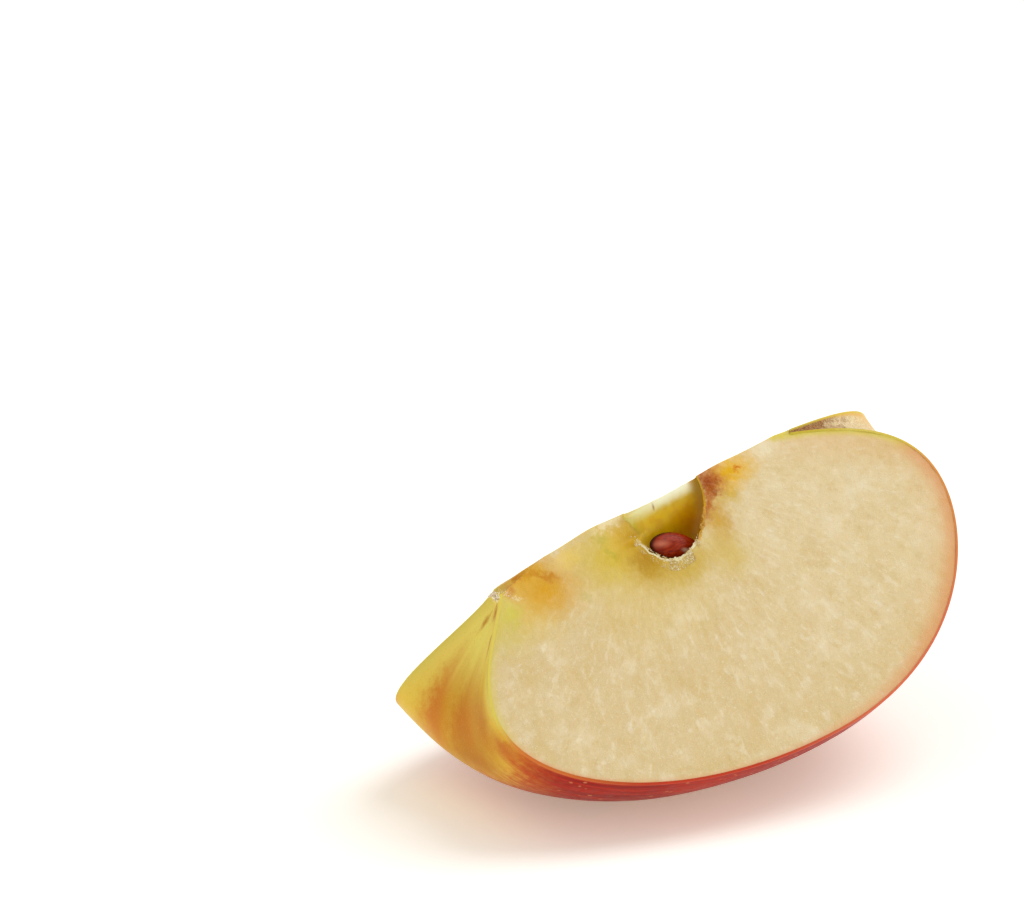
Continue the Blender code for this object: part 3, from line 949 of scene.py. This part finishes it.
# Painted shade: the coat darkens to near black towards its outline, where its edge lies in shadow.
seed_middle = (SEED_ALONG / MM, SEED_ACROSS / MM + 0.2)
to_edge = coat.far(seed_place, seed_middle, (3.45, 1.85), math.degrees(SEED_LEAN))
colour = coat.mix(coat.ease(to_edge, 0.84, 0.98) * 0.9, colour, (48, 8, 4))
coat.wear(Base_Color=colour, Roughness=coat.ease(mottle, 0.3, 0.7) * 0.1 + 0.30, Coat_Weight=0.08)
seed_piece = laid_down("seed_coat", seed_mesh(), coat.material)
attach(seed_piece, "root")
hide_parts("seed")

# The dried calyx
# What is left of the flower: stubs of dried sepals round the mouth of the tube, brown, brittle and curled in.
SEPALS = 4
SEPAL_FROM_CUT = 0.9
SEPAL_RING = 0.0022
SEPAL_FOOT = 0.0010
SEPAL_LENGTH = (0.0021, 0.0026)
SEPAL_WIDTH = 0.00060
SEPAL_THICKNESS = 0.60
SEPAL_NARROWING = 0.55
SEPAL_LEAN = math.radians(30.0)
SEPAL_CURL = 0.0005
SEPAL_SIDES = 18
SEPAL_RINGS = 22
SEPAL_CRINKLE = 0.00012
SEPAL_CRINKLE_SIZE = 0.0005
SEPAL_CRINKLE_SEED = 3


def calyx_mesh():
    noise.seed_set(SEPAL_CRINKLE_SEED)
    bud = ball_mesh("bud", SEPAL_SIDES, SEPAL_RINGS, 1)
    bm = bmesh.new()
    for number in range(SEPALS):
        share = (number + SEPAL_FROM_CUT) / (SEPALS - 1 + 2 * SEPAL_FROM_CUT)
        length = SEPAL_LENGTH[number % 2]
        angle = HALF_ANGLE * (1 - 2 * share)
        out = Vector((0, -math.sin(angle), -math.cos(angle)))
        foot = Vector((CALYX_FLOOR - length / 2 + SEPAL_FOOT, 0, 0)) + out * SEPAL_RING
        axis = Vector((-math.cos(SEPAL_LEAN), 0, 0)) - out * math.sin(SEPAL_LEAN)
        bm.from_mesh(bud)
        bm.verts.ensure_lookup_table()
        made = bm.verts[number * len(bud.vertices):]
        for vertex in made:
            up = (vertex.co.z + 1) / 2
            slim = SEPAL_WIDTH * (1 - SEPAL_NARROWING * up)
            vertex.co = (vertex.co.x * slim, vertex.co.y * slim * SEPAL_THICKNESS, (up - 0.5) * length)
            vertex.co.y -= SEPAL_CURL * up**3
            crinkle = noise.noise_vector(vertex.co / SEPAL_CRINKLE_SIZE + Vector((7.0 * number, 0, 0)))
            vertex.co += crinkle * SEPAL_CRINKLE
        side = axis.cross(out).normalized()
        facing = Matrix((side, axis.cross(side), axis)).transposed().to_4x4()
        bmesh.ops.transform(bm, matrix=Matrix.Translation(foot) @ facing, verts=made)
    mesh = bpy.data.meshes.new("dried_calyx")
    bm.to_mesh(mesh)
    bm.free()
    return mesh


sepal = Finish("dried_calyx", Specular_IOR_Level=0.2)
place = sepal.own_place()
mottle = sepal.noise(place, 3.0, 4.0, 0.7)
colour = sepal.mix(sepal.ease(mottle, 0.35, 0.65), (190, 160, 112), (238, 224, 192))
sepal.wear(Base_Color=colour, Roughness=mottle * 0.2 + 0.6, Normal=sepal.dents(mottle, 0.5, 0.0002))
sepal_mesh = calyx_mesh()
bare_sepals = sepal_mesh.copy()
sepal_piece = laid_down("dried_calyx", sepal_mesh, sepal.material)
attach(sepal_piece, "root")
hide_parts("apple_wedge")

# The calyx fuzz
# Short pale hairs that cover the dried sepals and stick out all round them like felt. They glow a little:
# painted light for light shining through the thin hairs.
FUZZ = {"Density": 1.6e7, "Length": 0.00080, "Thickness": 0.000030, "Seed": 4}
HAIR_SIDES = 4
HAIR_SEGMENTS = 3
HAIR_TIP = 0.000003
HAIR_SIZE = (0.45, 1.2)
HAIR_TILT = ((-0.9, -0.9, 0.0), (0.9, 0.9, 6.3))


class Growth(Nodes):
    """A Geometry Nodes tree under way, with a named input for each of its sizes."""

    def __init__(self, name, sizes):
        self.tree = bpy.data.node_groups.new(name, "GeometryNodeTree")
        self.sizes = sizes
        sockets = [("Geometry", "NodeSocketGeometry"), ("Material", "NodeSocketMaterial")]
        kinds = {int: "NodeSocketInt", float: "NodeSocketFloat"}
        sockets += [(size, kinds[type(given)]) for size, given in sizes.items()]
        self.inputs = {
            size: self.tree.interface.new_socket(name=size, in_out="INPUT", socket_type=kind).identifier
            for size, kind in sockets
        }
        self.tree.interface.new_socket(name="Geometry", in_out="OUTPUT", socket_type="NodeSocketGeometry")
        self.given = self.tree.nodes.new("NodeGroupInput")

    def __getitem__(self, size):
        return Value(self, self.given.outputs[size])

    def random(self, low, high):
        """A random vector between two."""
        values = {0: low, 1: high, "Seed": self["Seed"]}
        return self.node("FunctionNodeRandomValue", {"data_type": "FLOAT_VECTOR"}, values)

    def scatter(self, item, density, turn, size):
        """Puts the item on the faces at random places, each one turned and sized at random."""
        places = self.node(
            "GeometryNodeDistributePointsOnFaces",
            {"distribute_method": "RANDOM"},
            {"Mesh": self["Geometry"], "Density": density, "Seed": self["Seed"]},
        )
        values = {"Rotation": Value(self, places.socket.node.outputs["Rotation"]), "Rotate By": turn}
        turned = self.node("FunctionNodeRotateRotation", {"rotation_space": "LOCAL"}, values)
        values = {"Points": places, "Instance": item, "Rotation": turned, "Scale": size}
        placed = self.node("GeometryNodeInstanceOnPoints", None, values)
        real = self.node("GeometryNodeRealizeInstances", None, {"Geometry": placed})
        painted = self.node("GeometryNodeSetMaterial", None, {"Geometry": real, "Material": self["Material"]})
        self.feed(self.tree.nodes.new("NodeGroupOutput").inputs[0], painted)

    def grown_on(self, mesh, material):
        """The plain mesh that the tree makes on a mesh."""
        ground = in_scene("ground", mesh)
        modifier = ground.modifiers.new("growth", "NODES")
        modifier.node_group = self.tree
        modifier[self.inputs["Material"]] = material
        for size, given in self.sizes.items():
            modifier[self.inputs[size]] = given
        return applied(ground)


fuzz = Growth("calyx_fuzz", FUZZ)
hair = fuzz.node(
    "GeometryNodeMeshCone",
    {"fill_type": "NGON"},
    {
        "Vertices": HAIR_SIDES,
        "Side Segments": HAIR_SEGMENTS,
        "Radius Top": HAIR_TIP,
        "Radius Bottom": fuzz["Thickness"],
        "Depth": fuzz["Length"],
    },
)
values = {2: HAIR_SIZE[0], 3: HAIR_SIZE[1], "Seed": fuzz["Seed"]}
hair_size = fuzz.node("FunctionNodeRandomValue", {"data_type": "FLOAT"}, values, out=1)
fuzz.scatter(hair, fuzz["Density"], fuzz.random(*HAIR_TILT), hair_size)

felt = Finish(
    "calyx_fuzz",
    Specular_IOR_Level=0.3,
    # Painted light: a faint cream glow for light shining through the thin hairs.
    Emission_Color=(1.0, 0.93, 0.80, 1.0),
    Emission_Strength=0.22,
)
mottle = felt.noise(felt.own_place(), 2.0, 2.0)
colour = felt.mix(felt.ease(mottle, 0.3, 0.7), (244, 234, 212), (255, 252, 246))
felt.wear(Base_Color=colour, Roughness=mottle * 0.2 + 0.55)
hair_mesh = fuzz.grown_on(bare_sepals, felt.material)
fuzz_piece = laid_down("calyx_fuzz", hair_mesh, felt.material)
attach(fuzz_piece, "root")
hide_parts("apple_wedge")

# The torn cells
# Tiny wet shreds of flesh that the knife pulled up along the low lip of the pocket and left lying on the cut.
LIP_FROM = math.radians(172)
LIP_TO = math.radians(20)
LIP_STEPS = 60
LIP_HALVINGS = 40
FRAY_INWARD = 0.00026
FRAY_WIDTH = ((20, 0.00020), (60, 0.00035), (75, 0.0015), (105, 0.0016), (140, 0.0010), (172, 0.0006))
FRAY_HEIGHT = 0.00006
SHREDS = {"Density": 2.4e8, "Thickness": 0.00005, "Patches": 1500.0, "Seed": 9}
SHRED_PATCH = (0.36, 0.66)
SHRED_FALLOFF = 2.6
SHRED_SEGMENTS = 7
SHRED_RINGS = 5
SHRED_STRETCH = ((0.8, 0.4, 0.4), (3.6, 1.1, 0.9))
SHRED_TURN = ((-0.3, -0.5, 0.0), (0.3, 0.5, 2 * math.pi))


def lip_point(angle):
    """Where the pocket's wall meets the front cut, at an angle round the pocket."""
    low, high = -math.pi / 2, math.pi / 2
    for _ in range(LIP_HALVINGS):
        tilt = (low + high) / 2
        flat = math.cos(tilt)
        point = pocket_point(flat * math.cos(angle), flat * math.sin(angle), math.sin(tilt))
        low, high = (tilt, high) if point.z < 0 else (low, tilt)
    return point


def fray_mesh():
    """The ribbon of cut flesh along the lip of the pocket, as wide as it is torn there."""
    middle = lip_point(math.pi / 2) * 0.5
    points = []
    for step in range(LIP_STEPS + 1):
        angle = LIP_FROM + (LIP_TO - LIP_FROM) * step / LIP_STEPS
        lip = lip_point(angle)
        out = (lip - middle).normalized()
        width = float(np.interp(math.degrees(angle), *zip(*FRAY_WIDTH)))
        for reach in (-FRAY_INWARD, width):
            points.append(lip + out * reach - Vector((0, 0, FRAY_HEIGHT)))
    quads = [(2 * step, 2 * step + 1, 2 * step + 3, 2 * step + 2) for step in range(LIP_STEPS)]
    mesh = bpy.data.meshes.new("fray")
    mesh.from_pydata(points, [], quads)
    mesh.transform(FRONT_CUT)
    attribute = mesh.attributes.new("torn", "FLOAT", "POINT")
    attribute.data.foreach_set("value", [1.0, 0.0] * (LIP_STEPS + 1))
    return mesh


torn = Growth("torn_cells", SHREDS)
spot_at = torn.node("GeometryNodeInputPosition")
thick = torn.ease(torn.noise(spot_at, torn["Patches"]), *SHRED_PATCH)
how_torn = torn.node("GeometryNodeInputNamedAttribute", {"data_type": "FLOAT"}, {"Name": "torn"})
density = thick * torn["Density"] * how_torn.math("POWER", SHRED_FALLOFF)
values = {"Segments": SHRED_SEGMENTS, "Rings": SHRED_RINGS, "Radius": torn["Thickness"]}
shred = torn.node("GeometryNodeMeshUVSphere", None, values)
torn.scatter(shred, density, torn.random(*SHRED_TURN), torn.random(*SHRED_STRETCH))

wet = Finish("torn_cells", Specular_IOR_Level=0.3)
place = wet.own_place()
mottle = wet.noise(place, 2.6, 3.0)
along = wet.split(place)[0]
colour = wet.mix(wet.ease(mottle, 0.35, 0.65), (214, 182, 104), (240, 226, 186))
browner = wet.mix(wet.ease(mottle, 0.35, 0.65), (192, 132, 24), (222, 180, 88))
colour = wet.mix(wet.ease(along, -1.6, 0.2), colour, browner)
wet.wear(Base_Color=colour, Roughness=mottle * 0.2 + 0.35)
shred_mesh = torn.grown_on(fray_mesh(), wet.material)
torn_piece = laid_down("torn_cells", shred_mesh, wet.material)
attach(torn_piece, "root")
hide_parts("apple_wedge")

# The floor, the light and the camera
# A plain white table that glows a little where the photo is overexposed, soft white studio light from above,
# and a long lens at the photo's angle.
FLOOR_SIZE = 6.0
FLOOR_COLOUR = (0.93, 0.93, 0.93, 1.0)
FLOOR_GLOW = (0.82, 0.76, 0.58, 1.0)
FLOOR_GLOW_STRENGTH = 0.38
STUDIO_COLOUR = (1.0, 1.0, 1.0, 1.0)
STUDIO_STRENGTH = 0.60
floor_mesh = bpy.data.meshes.new("floor")
floor_bm = bmesh.new()
bmesh.ops.create_grid(floor_bm, x_segments=1, y_segments=1, size=FLOOR_SIZE / 2)
floor_bm.to_mesh(floor_mesh)
floor_bm.free()
floor = in_scene("floor", floor_mesh)
table = Finish(
    "table",
    Roughness=0.8,
    Specular_IOR_Level=0.1,
    Emission_Color=FLOOR_GLOW,
    Emission_Strength=FLOOR_GLOW_STRENGTH,
)
floor_mesh.materials.append(table.wear(Base_Color=FLOOR_COLOUR))

world = bpy.data.worlds.new("studio")
world.use_nodes = True
world.node_tree.nodes["Background"].inputs["Color"].default_value = STUDIO_COLOUR
world.node_tree.nodes["Background"].inputs["Strength"].default_value = STUDIO_STRENGTH
bpy.context.scene.world = world
bpy.context.scene.view_settings.view_transform = "Standard"

for name, towards, energy, angle in (
    ("high_light", (0.52, -0.06, 0.85), 1.20, 42),
    ("side_light", (0.82, -0.47, 0.30), 0.62, 55),
):
    sun = bpy.data.lights.new(name, "SUN")
    sun.energy = energy
    sun.angle = math.radians(angle)
    stand = in_scene(name, sun)
    stand.rotation_euler = Vector(towards).to_track_quat("Z", "Y").to_euler()

CAMERA_LENS = 195.36
CAMERA_SENSOR = 36.0
CAMERA_AZIMUTH = math.radians(-31.03)
CAMERA_ELEVATION = math.radians(20.77)
CAMERA_ROLL = math.radians(-1.94)
CAMERA_DISTANCE = 0.716
CAMERA_AIM = Vector((-0.01681, 0.01372, 0.04274))
lens = bpy.data.cameras.new("camera")
lens.lens = CAMERA_LENS
lens.sensor_width = CAMERA_SENSOR
camera = in_scene("camera", lens)
backwards = Vector(
    (
        math.sin(CAMERA_AZIMUTH) * math.cos(CAMERA_ELEVATION),
        -math.cos(CAMERA_AZIMUTH) * math.cos(CAMERA_ELEVATION),
        math.sin(CAMERA_ELEVATION),
    )
)
level = backwards.to_track_quat("Z", "Y").to_matrix()
camera.rotation_euler = (level @ Matrix.Rotation(CAMERA_ROLL, 3, "Z")).to_euler()
camera.location = CAMERA_AIM + backwards * CAMERA_DISTANCE
bpy.context.scene.camera = camera
